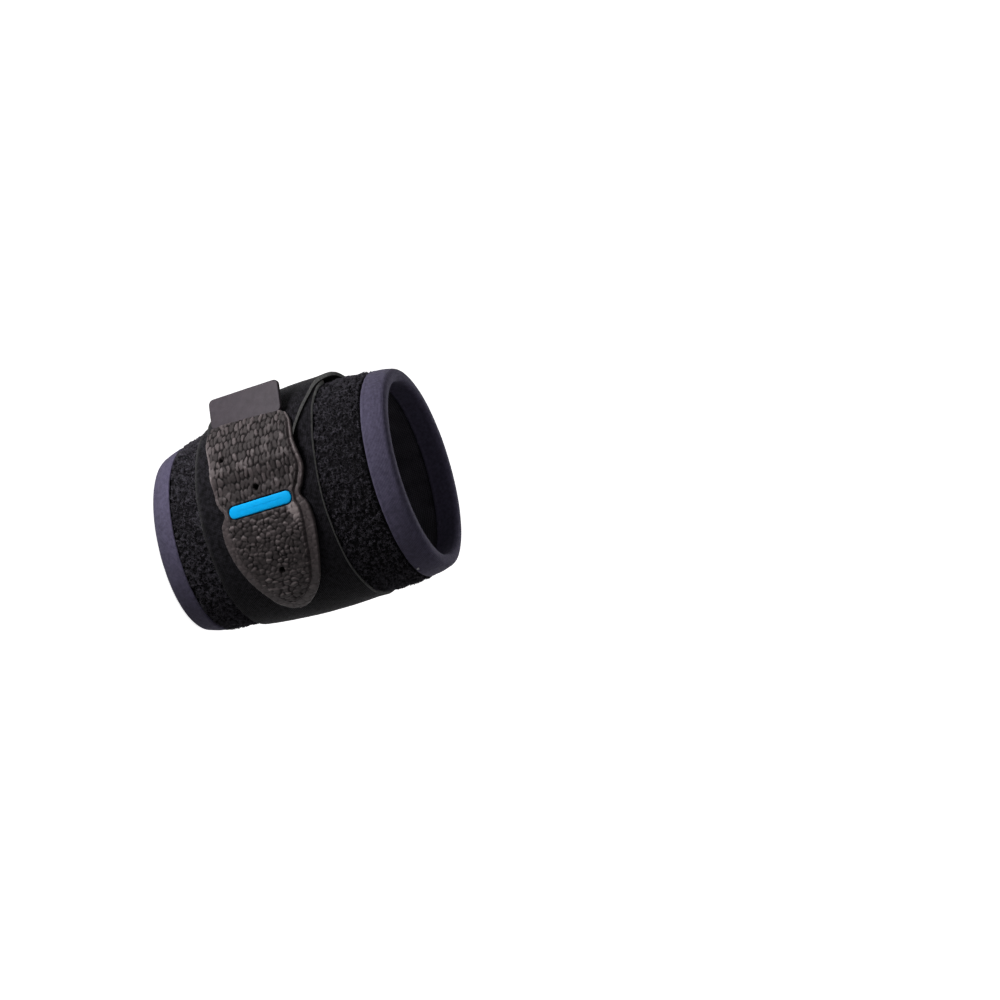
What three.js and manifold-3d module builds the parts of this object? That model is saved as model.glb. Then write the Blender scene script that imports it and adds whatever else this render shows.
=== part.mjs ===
// A wrap-round wrist support: a padded tube with bound rims, a strap that overlaps itself,
// and a moulded fastening tongue with a tab and an inlaid bar. Millimetres, +Z up.
// It stands on its proximal rim with the tube's axis upright and the tongue facing -Y.

import * as THREE from 'three';
import { mergeVertices } from 'three/addons/utils/BufferGeometryUtils.js';
import Module from 'manifold-3d';

// The tube. A turn of 0 degrees faces -Y, and turns grow towards -X.
const BAND_WIDTH = 80;
const PROXIMAL_HALF = { wide: 26.2, deep: 20.4 };
const DISTAL_HALF = { wide: 29.5, deep: 23.2 };
const BULGE = { wide: 4.3, deep: 3.0 };
const LEAN = -6.2;
const TWIST = 4.5;
const RIM_SLOPE = 0.04;

// The dent where the tight strap presses the tube in, opposite the tongue's upper end.
const DENT = { turn: -95, spread: 75, low: 6, high: 69, edge: 14, depth: 1.4 };

// Layers, measured outwards from the band's loop face.
const GAP = 0.3;
const BAND_THICKNESS = 3.0;
const BINDING = { cloth: 1.0, proud: 0.45, proximal: 6.8, distal: 7.4, round: 0.8 };
const STRAP_THICKNESS = 1.2;
const TONGUE = { thickness: 2.0, rim: 1.3, rimWidth: 2.6, slope: 0.5 };
const TAB = { thickness: 1.2, low: 25.8, high: 48.2, lift: 4.3, tilt: 24, corner: 1.6 };
const ACCENT = { turn: 7.6, height: 39.1, halfSpan: 3.4, halfLength: 10.2, round: 1.6, flat: 0.9 };
const ACCENT_LAYER = { depth: 0.7, proud: 0.15 };

// Facets
const RING_STEPS = 48;
const WALL_STEPS = 9;
const STRAP_STEP = 7.5;
const STRAP_COLUMNS = 6;
const TONGUE_STEP = 2.5;
const ACCENT_STEPS = 8;
const HOLE_SIDES = 16;
const TAB_CORNER_STEPS = 4;

// The strap from its end under the tongue back to its hidden start: turn in degrees and the
// heights of its edges.
const STRAP_ROWS = [
  { turn: -330, low: 27.0, high: 51.0 },
  { turn: -318, low: 25.0, high: 52.8 },
  { turn: -307, low: 22.9, high: 54.8 },
  { turn: -295, low: 21.1, high: 56.5 },
  { turn: -284, low: 19.8, high: 57.4 },
  { turn: -275, low: 18.8, high: 59.1 },
  { turn: -264, low: 18.2, high: 60.6 },
  { turn: -250, low: 18.0, high: 61.6 },
  { turn: -225, low: 18.6, high: 62.3 },
  { turn: -180, low: 20.0, high: 61.8 },
  { turn: -120, low: 20.2, high: 60.0 },
  { turn: -60, low: 19.0, high: 58.0 },
  { turn: -15, low: 17.9, high: 57.3 },
  { turn: 30, low: 17.4, high: 57.7 },
  { turn: 89, low: 17.5, high: 57.4 },
];

// Where the strap climbs from the band onto its own start.
const STRAP_LAP = { high: -270, low: -246 };

// The tongue from its free tip to its upper end: turn in degrees and the heights of its edges.
const TONGUE_ROWS = [
  { turn: -53.2, low: 36.2, high: 38.8 },
  { turn: -52, low: 34.9, high: 40.3 },
  { turn: -48.3, low: 32.8, high: 42.9 },
  { turn: -39, low: 30.2, high: 47.4 },
  { turn: -27, low: 27.3, high: 50.6 },
  { turn: -15, low: 25.3, high: 52.8 },
  { turn: -2, low: 24.6, high: 53.7 },
  { turn: 3, low: 25.0, high: 53.2 },
  { turn: 7.8, low: 26.7, high: 51.7 },
  { turn: 12.5, low: 25.2, high: 53.0 },
  { turn: 22, low: 24.5, high: 54.5 },
  { turn: 34, low: 24.3, high: 53.0 },
  { turn: 48, low: 23.3, high: 51.6 },
  { turn: 51, low: 24.2, high: 50.6 },
];
const TONGUE_STEP_UP = { from: 18, to: 28 };

// The tongue's upper end runs aslant: its low corner reaches this much further round than its high one.
const TONGUE_SLANT = { reach: 6, from: 30, to: 51, low: 24.2, high: 50.6 };

// Towards the tip the rim and the raised centre keep at least these shares of the half width.
const TONGUE_TIP = { rimInside: 0.5, raised: 0.33 };

const TONGUE_HOLES = [
  { turn: 16.5, height: 39.0, diameter: 1.5 },
  { turn: -25.4, height: 39.3, diameter: 1.5 },
  { turn: 35, height: 29.5, diameter: 1.0 },
];
const DRILL_LENGTH = 6;

// The tab's corners: how far each lies from the tongue's end and how far up that end.
const TAB_CORNERS = [
  { along: 0.75, up: -0.9 },
  { along: 0.75, up: 23.8 },
  { along: 10.3, up: 22.9 },
  { along: 9.5, up: -1.8 },
];

const UP = new THREE.Vector3(0, 0, 1);
const { clamp, degToRad, euclideanModulo, lerp, smoothstep } = THREE.MathUtils;

// A smooth curve through a table's rows, giving the named columns at any value of the key.
function tableCurve(rows, key, columns) {
  const places = rows.map((row) => row[key]);
  const samples = rows.flatMap((row) => columns.map((column) => row[column]));
  const curve = new THREE.CubicInterpolant(places, samples, columns.length);
  return (place) => {
    const values = curve.evaluate(clamp(place, places.at(0), places.at(-1)));
    return Object.fromEntries(columns.map((column, i) => [column, values[i]]));
  };
}

function steps(from, to, largest) {
  const count = Math.ceil(Math.abs(to - from) / largest);
  return Array.from({ length: count + 1 }, (_, i) => lerp(from, to, i / count));
}

// How far the tight strap presses the tube in at a turn and height.
function dentDepth(turn, height) {
  const away = Math.abs(euclideanModulo(turn - DENT.turn + 180, 360) - 180);
  const around = 1 - smoothstep(away, 0, DENT.spread);
  const up = smoothstep(height, DENT.low, DENT.low + DENT.edge);
  const down = 1 - smoothstep(height, DENT.high - DENT.edge, DENT.high);
  return DENT.depth * around * up * down;
}

// The tube's oval at a height: half sizes, centre and the angle it is twisted by.
function ovalAt(height) {
  const share = height / BAND_WIDTH;
  const swell = 4 * share * (1 - share);
  return {
    wide: lerp(PROXIMAL_HALF.wide, DISTAL_HALF.wide, share) + BULGE.wide * swell,
    deep: lerp(PROXIMAL_HALF.deep, DISTAL_HALF.deep, share) + BULGE.deep * swell,
    centre: LEAN * (share - 0.5),
    twist: degToRad(TWIST) * (share - 0.5),
  };
}

// The level outward direction on the tube at a turn and height.
function tubeNormal(turn, height) {
  const oval = ovalAt(height);
  const angle = degToRad(turn);
  const normal = new THREE.Vector3(-oval.deep * Math.sin(angle), -oval.wide * Math.cos(angle), 0);
  return normal.normalize().applyAxisAngle(UP, oval.twist);
}

// The point that lies a lift outside the band's loop face at a turn and height.
function tubePoint(turn, height, lift) {
  const oval = ovalAt(height);
  const angle = degToRad(turn);
  const point = new THREE.Vector3(-oval.wide * Math.sin(angle), -oval.deep * Math.cos(angle), 0);
  point.applyAxisAngle(UP, oval.twist);
  point.x += oval.centre;
  point.addScaledVector(tubeNormal(turn, height), lift - dentDepth(turn, height));
  point.z = height + (height / BAND_WIDTH) * RIM_SLOPE * point.x;
  return point;
}

function solidGeometry(points, quads) {
  const geometry = new THREE.BufferGeometry();
  geometry.setFromPoints(points);
  geometry.setIndex(quads.flatMap(([a, b, c, d]) => [a, b, c, a, c, d]));
  geometry.computeVertexNormals();
  return geometry;
}

// A closed profile of heights and lifts, carried all the way round the tube.
function ringGeometry(profile) {
  const sides = profile.length;
  const points = [];
  const quads = [];
  for (let step = 0; step < RING_STEPS; step++) {
    const turn = (360 * step) / RING_STEPS;
    const next = (step + 1) % RING_STEPS;
    profile.forEach(({ height, lift }, side) => {
      const after = (side + 1) % sides;
      points.push(tubePoint(turn, height, lift));
      quads.push([step * sides + side, step * sides + after, next * sides + after, next * sides + side]);
    });
  }
  return solidGeometry(points, quads);
}

// A slab wrapped on the tube. columnsAt gives the same number of columns at each turn, from the
// low edge to the high one, each with its height, the lifts of its inner and outer faces, and its
// own turn where the slab runs aslant.
function slabGeometry(turns, columnsAt) {
  const table = turns.map((turn) => columnsAt(turn));
  const rows = table.length;
  const columns = table[0].length;
  const points = [];
  for (const face of ['inner', 'outer']) {
    table.forEach((line, row) => {
      line.forEach((cell) => points.push(tubePoint(cell.turn ?? turns[row], cell.height, cell[face])));
    });
  }
  const inner = (row, column) => row * columns + column;
  const outer = (row, column) => rows * columns + inner(row, column);
  const quads = [];
  for (let row = 0; row < rows - 1; row++) {
    for (let column = 0; column < columns - 1; column++) {
      const corners = [[row, column], [row + 1, column], [row + 1, column + 1], [row, column + 1]];
      quads.push(corners.map(([r, c]) => inner(r, c)));
      quads.push(corners.map(([r, c]) => outer(r, c)).reverse());
    }
    for (const [column, near, far] of [[0, outer, inner], [columns - 1, inner, outer]]) {
      quads.push([near(row, column), near(row + 1, column), far(row + 1, column), far(row, column)]);
    }
  }
  for (let column = 0; column < columns - 1; column++) {
    for (const [row, near, far] of [[0, inner, outer], [rows - 1, outer, inner]]) {
      quads.push([near(row, column), near(row, column + 1), far(row, column + 1), far(row, column)]);
    }
  }
  return solidGeometry(points, quads);
}

const wasm = await Module();
wasm.setup();

function toManifold(geometry) {
  const bare = geometry.clone();
  bare.deleteAttribute('normal');
  bare.deleteAttribute('uv');
  const merged = mergeVertices(bare);
  const vertProperties = new Float32Array(merged.attributes.position.array);
  const triVerts = new Uint32Array(merged.index.array);
  return new wasm.Manifold(new wasm.Mesh({ numProp: 3, vertProperties, triVerts }));
}

function cut(geometry, cutters) {
  let solid = toManifold(geometry);
  for (const cutter of cutters) {
    solid = solid.subtract(toManifold(cutter));
  }
  const mesh = solid.getMesh();
  const result = new THREE.BufferGeometry();
  result.setAttribute('position', new THREE.BufferAttribute(new Float32Array(mesh.vertProperties), 3));
  result.setIndex(new THREE.BufferAttribute(new Uint32Array(mesh.triVerts), 1));
  result.computeVertexNormals();
  return result;
}

// The band is full thickness between the bindings, and its sewn edges are pressed thin inside them.
function bandGeometry() {
  const shoulderLow = BINDING.proximal + GAP;
  const shoulderHigh = BAND_WIDTH - BINDING.distal - GAP;
  const edgeLow = BINDING.cloth + GAP;
  const edgeHigh = BAND_WIDTH - BINDING.cloth - GAP;
  const edgeOuter = BINDING.proud - BINDING.cloth - GAP;
  const edgeInner = -BAND_THICKNESS - edgeOuter;
  const rise = (shoulderHigh - shoulderLow) / WALL_STEPS;
  const wall = steps(shoulderLow, shoulderHigh, rise);
  return ringGeometry([
    { height: edgeLow, lift: edgeOuter },
    { height: shoulderLow, lift: edgeOuter },
    ...wall.map((height) => ({ height, lift: 0 })),
    { height: shoulderHigh, lift: edgeOuter },
    { height: edgeHigh, lift: edgeOuter },
    { height: edgeHigh, lift: edgeInner },
    { height: shoulderHigh, lift: edgeInner },
    ...wall.toReversed().map((height) => ({ height, lift: -BAND_THICKNESS })),
    { height: shoulderLow, lift: edgeInner },
    { height: edgeLow, lift: edgeInner },
  ]);
}

// A binding is a folded channel over a rim: rim is its outer height, and open its free edge.
function bindingGeometry(rim, open) {
  const inward = Math.sign(open - rim);
  const outer = BINDING.proud;
  const inner = -BAND_THICKNESS - BINDING.proud;
  const fold = rim + inward * BINDING.cloth;
  const bend = rim + inward * BINDING.round;
  const profile = [
    { height: rim, lift: outer - BINDING.round },
    { height: bend, lift: outer },
    { height: open, lift: outer },
    { height: open, lift: outer - BINDING.cloth },
    { height: fold, lift: outer - BINDING.cloth },
    { height: fold, lift: inner + BINDING.cloth },
    { height: open, lift: inner + BINDING.cloth },
    { height: open, lift: inner },
    { height: bend, lift: inner },
    { height: rim, lift: inner + BINDING.round },
  ];
  return ringGeometry(inward > 0 ? profile : profile.reverse());
}

function strapGeometry() {
  const outline = tableCurve(STRAP_ROWS, 'turn', ['low', 'high']);
  const turns = steps(STRAP_ROWS.at(0).turn, STRAP_ROWS.at(-1).turn, STRAP_STEP);
  return slabGeometry(turns, (turn) => {
    const { low, high } = outline(turn);
    const layer = 1 - smoothstep(turn, STRAP_LAP.high, STRAP_LAP.low);
    const inner = GAP + layer * (STRAP_THICKNESS + GAP);
    return Array.from({ length: STRAP_COLUMNS }, (_, column) => ({
      height: lerp(low, high, column / (STRAP_COLUMNS - 1)),
      inner,
      outer: inner + STRAP_THICKNESS,
    }));
  });
}

// The tongue's underside: on the strap's first layer at the tip, on its second at the upper end.
function tongueUnderside(turn) {
  const layer = 1 + smoothstep(turn, TONGUE_STEP_UP.from, TONGUE_STEP_UP.to);
  return GAP + layer * (STRAP_THICKNESS + GAP);
}

function tongueTurn(turn, height) {
  const lower = clamp((TONGUE_SLANT.high - height) / (TONGUE_SLANT.high - TONGUE_SLANT.low), 0, 1);
  return turn + TONGUE_SLANT.reach * lower * smoothstep(turn, TONGUE_SLANT.from, TONGUE_SLANT.to);
}

function tongueGeometry() {
  const outline = tableCurve(TONGUE_ROWS, 'turn', ['low', 'high']);
  const turns = steps(TONGUE_ROWS.at(0).turn, TONGUE_ROWS.at(-1).turn, TONGUE_STEP);
  const body = slabGeometry(turns, (turn) => {
    const { low, high } = outline(turn);
    const half = (high - low) / 2;
    const rimInside = Math.max(half - TONGUE.rimWidth, half * TONGUE_TIP.rimInside);
    const raised = Math.max(rimInside - TONGUE.slope, half * TONGUE_TIP.raised);
    const inner = tongueUnderside(turn);
    const across = [-half, -rimInside, -raised, 0, raised, rimInside, half];
    return across.map((offset) => ({
      turn: tongueTurn(turn, low + half + offset),
      height: low + half + offset,
      inner,
      outer: inner + (Math.abs(offset) > raised ? TONGUE.rim : TONGUE.thickness),
    }));
  });
  const holes = TONGUE_HOLES.map(({ turn, height, diameter }) => {
    const drill = new THREE.CylinderGeometry(diameter / 2, diameter / 2, DRILL_LENGTH, HOLE_SIDES);
    const normal = tubeNormal(turn, height);
    const middle = tubePoint(turn, height, tongueUnderside(turn) + TONGUE.thickness / 2);
    drill.applyQuaternion(new THREE.Quaternion().setFromUnitVectors(new THREE.Vector3(0, 1, 0), normal));
    return drill.translate(middle.x, middle.y, middle.z);
  });
  return cut(body, [...holes, accentGeometry(GAP)]);
}

// The bar set into the tongue's waist. A clearance makes the pocket it sits in, open at the top.
function accentGeometry(clearance) {
  const span = ACCENT.halfSpan + clearance * (ACCENT.halfSpan / ACCENT.round);
  const turns = steps(ACCENT.turn - span, ACCENT.turn + span, (2 * span) / ACCENT_STEPS);
  const top = tongueUnderside(ACCENT.turn) + TONGUE.thickness;
  const round = ACCENT.round + clearance;
  const inner = top - ACCENT_LAYER.depth - clearance;
  const outer = top + ACCENT_LAYER.proud + clearance;
  return slabGeometry(turns, (turn) => {
    const aside = clamp((turn - ACCENT.turn) / span, -1, 1);
    const half = ACCENT.halfLength - ACCENT.round + round * Math.sqrt(1 - ACCENT.flat * aside * aside);
    return [-half, 0, half].map((offset) => ({ height: ACCENT.height + offset, inner, outer }));
  });
}

// The tab is a flat plate that starts along the tongue's end and leans outwards.
function tabMesh() {
  const corners = TAB_CORNERS.map(({ along, up }) => new THREE.Vector2(along, up));
  const shape = new THREE.Shape();
  corners.forEach((corner, i) => {
    const before = corners.at(i - 1).clone().sub(corner).setLength(TAB.corner).add(corner);
    const after = corners[(i + 1) % corners.length].clone().sub(corner).setLength(TAB.corner).add(corner);
    if (i === 0) {
      shape.moveTo(before.x, before.y);
    } else {
      shape.lineTo(before.x, before.y);
    }
    shape.quadraticCurveTo(corner.x, corner.y, after.x, after.y);
  });
  shape.closePath();
  const plate = new THREE.ExtrudeGeometry(shape, {
    depth: TAB.thickness, bevelEnabled: false, curveSegments: TAB_CORNER_STEPS,
  });
  plate.translate(0, 0, -TAB.thickness / 2);
  const end = TONGUE_ROWS.at(-1).turn;
  const [foot, middle, head] = [TAB.low, (TAB.low + TAB.high) / 2, TAB.high].map((height) => ({
    turn: tongueTurn(end, height),
    height,
  }));
  const root = tubePoint(foot.turn, foot.height, TAB.lift);
  const up = tubePoint(head.turn, head.height, TAB.lift).sub(root).normalize();
  const lean = tubeNormal(middle.turn, middle.height).cross(UP).applyAxisAngle(UP, degToRad(TAB.tilt));
  const along = lean.addScaledVector(up, -lean.dot(up)).normalize();
  const place = new THREE.Matrix4().makeBasis(along, up, along.clone().cross(up));
  const mesh = new THREE.Mesh(plate);
  mesh.setRotationFromMatrix(place);
  mesh.position.copy(root);
  return mesh;
}

function finish(mesh, name, color, roughness) {
  mesh.name = name;
  mesh.material = new THREE.MeshStandardMaterial({ color, roughness, metalness: 0 });
  return mesh;
}

const LOOP_BLACK = 0x1d1d22;
const STRAP_BLACK = 0x232327;
const SLATE = 0x53516a;
const BROWN_GREY = 0x544c4a;
const AZURE = 0x069fe6;

const support = new THREE.Group();
support.add(
  finish(new THREE.Mesh(bandGeometry()), 'band', LOOP_BLACK, 0.95),
  finish(new THREE.Mesh(bindingGeometry(0, BINDING.proximal)), 'binding_proximal', SLATE, 0.8),
  finish(
    new THREE.Mesh(bindingGeometry(BAND_WIDTH, BAND_WIDTH - BINDING.distal)),
    'binding_distal', SLATE, 0.8,
  ),
  finish(new THREE.Mesh(strapGeometry()), 'strap', STRAP_BLACK, 0.75),
  finish(new THREE.Mesh(tongueGeometry()), 'tongue', BROWN_GREY, 0.6),
  finish(tabMesh(), 'label_tab', BROWN_GREY, 0.6),
  finish(new THREE.Mesh(accentGeometry(0)), 'accent_bar', AZURE, 0.45),
);

// The origin is the middle of the whole box's floor.
const group = new THREE.Group();
group.add(support);
const middle = new THREE.Box3().setFromObject(support, true).getCenter(new THREE.Vector3());
support.position.set(-middle.x, -middle.y, 0);

export default group;
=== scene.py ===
"""Looks of a wrap-round wrist support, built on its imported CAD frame.

Lengths in this script are in millimetres, and mesh_object() turns them into metres. A place on the
tube is a turn in degrees, a height above the proximal rim and a lift outwards from the loop face.
"""
import math
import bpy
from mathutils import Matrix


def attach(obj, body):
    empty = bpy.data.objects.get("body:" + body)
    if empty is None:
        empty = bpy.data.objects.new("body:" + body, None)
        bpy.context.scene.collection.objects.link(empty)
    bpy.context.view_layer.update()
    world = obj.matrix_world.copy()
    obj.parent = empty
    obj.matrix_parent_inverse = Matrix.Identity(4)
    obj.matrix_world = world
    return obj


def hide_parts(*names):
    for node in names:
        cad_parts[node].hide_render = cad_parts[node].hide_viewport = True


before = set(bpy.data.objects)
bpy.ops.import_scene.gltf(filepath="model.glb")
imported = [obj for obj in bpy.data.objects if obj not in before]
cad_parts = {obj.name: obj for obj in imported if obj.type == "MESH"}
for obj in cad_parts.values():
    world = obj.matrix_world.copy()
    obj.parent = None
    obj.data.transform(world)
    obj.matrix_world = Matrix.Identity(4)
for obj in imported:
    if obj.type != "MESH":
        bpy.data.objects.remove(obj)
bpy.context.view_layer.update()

from types import SimpleNamespace as Sizes

import bpy
import numpy as np
from mathutils import Matrix, Vector

MM = 0.001

# The tube, as in the CAD part. A turn of 0 degrees faces -Y, and turns grow towards -X. Each of the
# three ovals is half a width and half a depth, and the last is what the middle has over the rims.
BAND_WIDTH = 80.0
PROXIMAL_HALF = (26.2, 20.4)
DISTAL_HALF = (29.5, 23.2)
BULGE_HALF = (4.3, 3.0)
LEAN = -6.2
TWIST = 4.5
RIM_SLOPE = 0.04
DENT = Sizes(turn=-95, spread=75, low=6, high=69, edge=14, depth=1.4)
TUBE_ORIGIN = (3.0353, 1.2150)

# Layers: the gap between them, the band's padding and the edgings, strap and tongue on it.
GAP = 0.3
PADDING = 3.0
BAND_MESH = Sizes(columns=320, outer_rows=110, inner_rows=60, edge_step=0.1)
TUCK = Sizes(depth=0.5, reach=1.6)
RIMS = {"proximal": 0, "distal": BAND_WIDTH}
BINDING = Sizes(cloth=1.0, proud=0.45, over_rim=3.0)
BINDING_DEPTH = {"proximal": 6.8, "distal": 7.4}
FOLD = Sizes(start=1.8, inner=0.8, squareness=2.6, swell=0.2, lining_swell=0.05)
HEM = Sizes(rise=0.14, start=0.8, end=0.95)
PUCKER = Sizes(pitch=2.6, depth=0.045, reach=2.4, full=0.6)
BINDING_MESH = Sizes(columns=400, fold=22, inner_fold=12, wall=24, inner_wall=6, hem=5)
WEBBING = 1.2
STRAP_STATIONS = 400
STRAP_LAP = (-270, -246)
STRAP_EDGE = Sizes(round=0.14, corner=4, columns=56, worn=0.08, worn_reach=1.1)
CUT_SHARES = (0, 0.6, 1, 1, 1, 1, 0.6, 0)
LAP_CURL = Sizes(rise=0.3, reach=4, starts=(-300, -275), ends=(-245, -225))
UNDER_EDGE = Sizes(turns=(-40, 65), pale=(0.25, 0.85))
OVER_EDGE_FADES = (-278, -262)
TONGUE_STEP_UP = (18, 28)

# Small unevenness of each surface: a height, the size of its cells and a seed for each layer of it.
UNEVEN = {
    "loop_face": [(0.14, 0.9, 1), (0.1, 5.0, 2)],
    "lining": [(0.08, 3.0, 3)],
    "binding_proximal": [(0.07, 3.5, 201)],
    "binding_distal": [(0.07, 3.5, 202)],
    "strap_face": [(0.05, 4.0, 11), (0.03, 1.0, 12)],
    "strap_low_edge": [(0.12, 6.0, 13)],
    "strap_high_edge": [(0.12, 6.0, 14)],
    "strap_cut": [(0.06, 0.5, 15)],
    "pebbles_along": [(0.35, 1.6, 24)],
    "pebbles_across": [(0.35, 1.6, 25)],
    "pebbles_filled": [(1.0, 1.3, 26)],
    "tongue": [(0.04, 0.6, 63)],
    "tab": [(0.04, 4.0, 71)],
}

# The tube's rough radius, for lengths along the strap's wavy edges.
EDGE_RADIUS = 30

# The strap from its end under the tongue back to its hidden start: turn, low edge and high edge.
STRAP_ROWS = [
    (-330, 27.0, 51.0), (-318, 25.0, 52.8), (-307, 22.9, 54.8), (-295, 21.1, 56.5),
    (-284, 19.8, 57.4), (-275, 18.8, 59.1), (-264, 18.2, 60.6), (-250, 18.0, 61.6),
    (-225, 18.6, 62.3), (-180, 20.0, 61.8), (-120, 20.2, 60.0), (-60, 19.0, 58.0),
    (-15, 17.9, 57.3), (30, 17.4, 57.7), (89, 17.5, 57.4),
]

# The tongue from its free tip to its upper end: turn, low edge, high edge.
TONGUE_ROWS = [
    (-53.5, 37.2, 37.9), (-53.2, 36.2, 38.8), (-52, 34.9, 40.3), (-48.3, 32.8, 42.9),
    (-39, 30.2, 47.4), (-27, 27.3, 50.6), (-15, 25.3, 52.8), (-2, 24.6, 53.7),
    (3, 25.0, 53.2), (7.8, 26.7, 51.7), (12.5, 25.2, 53.0), (22, 24.5, 54.5),
    (34, 24.3, 53.0), (48, 23.3, 51.6), (51, 24.2, 50.6),
]
TONGUE = Sizes(rim=1.3, raised=2.0, edge=0.45, end_round=0.3)
TONGUE_MESH = Sizes(stations=400, crowding=0.7, face=190, back=14, fine=600)
# The groove inside the tongue's rim; its dark is painted shade in it.
GROOVE = Sizes(start=-0.3, end=0.25, depth=0.12, wall=0.5, dark=0.2)
TONGUE_TINT = Sizes(back=0.3, rim=0.62, rim_middle=0.45)
SLANT = Sizes(reach=6, start=30)
TONGUE_HOLES = [(16.5, 39.0, 0.9), (-25.4, 39.3, 0.92), (34.3, 29.5, 0.85)]
HOLE = Sizes(edge=0.06, floor=0.1)

# The width of the tongue's flat rim: turn, along its low edge, along its high edge.
RIM_ROWS = [
    (-54, 4.2, 4.2), (-47, 3.2, 3.2), (-38, 2.6, 2.7), (0, 2.4, 2.6),
    (8, 1.5, 1.6), (16, 1.2, 1.4), (30, 0.8, 0.9), (51, 0.4, 0.5),
]

# Moulded pebbles on the tongue: their pitch along and across it, how far they stray from rows, their
# rise, how pale their grooves are, how much paler their tops are, a painted highlight, how much paler
# their crests are, a painted highlight on each pebble's uphill flank, and how tops vary.
PEBBLES = {
    "tip": Sizes(
        seed=40, along=1.3, across=2.4, stray=0.85, rise=0.36, pale=0.33, top=0.15, crest=0.5, vary=0.15
    ),
    "middle": Sizes(
        seed=50, along=1.4, across=1.7, stray=0.9, rise=0.45, pale=0.19, top=0.22, crest=0.36, vary=0.2
    ),
    "upper": Sizes(
        seed=60, along=2.5, across=1.5, stray=0.5, rise=0.5, pale=0.03, top=0.36, crest=0.1, vary=0.4
    ),
}
PEBBLE_TIP = (-32, -18)
# Pebble domes; top, crest and uphill set where the painted highlights fall on each pebble, on the side
# the light comes from.
DOME = Sizes(width=0.7, least=0.5, top=(0, 0.85), crest=(0.1, 0.5), uphill=(0.02, 0.3))
# Pits where three pebbles meet; their dark is painted shade in them.
PIT = Sizes(width=(0.05, 0.45), depth=0.35, dark=0.26)
FILLED = Sizes(most=0.75, start=-0.2, end=0.4)
RIM_PEBBLES = 0.35
# The shoulder of the raised middle below the blue bar: its place, a rise, smoother pebbles and a paler
# patch on it, a painted highlight where it faces the light.
SHOULDER = Sizes(turn=1, spread=5.5, reach=3.8, rise=0.25, worn=0.85, smooth=0.6)
# Painted highlights along the low and high edges of the tongue's upper part, where the edges catch the
# light.
LOW_EDGE_HIGHLIGHT = Sizes(start=14, end=26, reach=3.5, worn=0.22)
HIGH_EDGE_HIGHLIGHT = Sizes(start=9, end=16, reach=2.2, worn=0.2)

# The tab's corners: up the tongue's end, away from it. Its root is tucked into the tongue.
TAB_CORNERS = [(-0.9, 0.2), (23.8, 0.2), (22.9, 10.3), (-1.8, 9.5)]
TAB = Sizes(thickness=1.2, low=25.8, high=48.2, lift=4.3, tilt=24, corner=1.6)
TAB_EDGE = Sizes(bend=0.3, steps=5, insets=(0.35, 0.8, 1.2, 1.6), scales=(0.95, 0.04, 16), pale=0.25)
TAB_TINT = Sizes(face=0.25, edge=0.45)
TAB_STEPS = (8, 30)
LEAST_BEND = 0.05

# The blue bar and its seat in the tongue. Rings of its back are an inset and a scale towards the
# middle, and rings of its rounded top are an inset and a rise.
ACCENT = Sizes(turn=7.6, height=39.1, half=(1.75, 10.2), round=1.6, proud=0.15, depth=0.7)
ACCENT_SEAT = Sizes(groove=(0.08, 0.3), plain=(0.6, 1.3))
ACCENT_TURNS = (-8, 8, 65)
ACCENT_STEPS = (10, 40)
ACCENT_BACK = [(1.2, 0.05), (1.2, 1), (0, 1)]
ACCENT_TOP = [(0, -0.25), (0.08, -0.08), (0.25, 0), (0.6, 0.05), (1.0, 0.08), (1.4, 0.1), (1.55, 0.1)]

# Thread loops of the pile: how many, how they gather in tufts, their shape and how pale they are.
PILE = Sizes(
    loops=9800, tries=6, tuft=0.8, thinnest=0.08, thickest=1.5, root=-0.1,
    span=(0.45, 1.0), rise=(0.4, 0.9), curl=0.45, thread=(0.06, 0.095), tint=(0.35, 0.65),
    stations=4, sides=3, off_binding=0.6, under_strap=0.1,
)
PILE_SEEDS = {"proximal": 101, "distal": 102}

# How each loop unfolds into a cell of its own: a strip for its sides, with a cap below and above it.
CELL = Sizes(
    margin=0.05, strip=0.1,
    caps=[[(0, 0), (0.9, 0), (0, 0.09)], [(0, 0.91), (0.9, 0.91), (0, 1)]],
)
KNOT = Sizes(turn=-58.9, height=73.7, lift=0.75, size=0.3, thread=0.13, sides=8, stations=96)

# The camera, from the photograph: its place, the directions right and up in its view, and its lens.
CAMERA = Sizes(
    place=(-22.910, -561.461, 285.363),
    right=(0.245686, 0.289020, 0.925427),
    up=(-0.966873, 0.135262, 0.214816),
    lens=74.02, sensor=36.0, sight=100,
)
FLOOR = Sizes(half=30000.0, drop=0.1, glow=0.85)

# Light
KEY = Sizes(turn=45, away=105, height=5, size=60, power=0.25)
FAR_LIGHTS = {
    "top": Sizes(turn=-25, elevation=62, softness=50, strength=0.3),
    "back_near": Sizes(turn=-160, elevation=12, softness=50, strength=1.6),
    "back_far": Sizes(turn=150, elevation=12, softness=50, strength=1.1),
}
SKY_STRENGTH = 0.14

# Grain runs aslant, so that its cells don't line up with the part. Knit loops slant within their rows.
GRAIN_TURN = (0.6, 0.4, 0.9)
KNIT_SLANT = 0.8
KNIT_GAP = 0.35
MOULD_CELL = 0.4


def ease(value, start, end):
    """Goes smoothly from 0 to 1 as the value goes from start to end."""
    share = np.clip((np.asarray(value, float) - start) / (end - start), 0, 1)
    return share * share * (3 - 2 * share)


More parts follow.
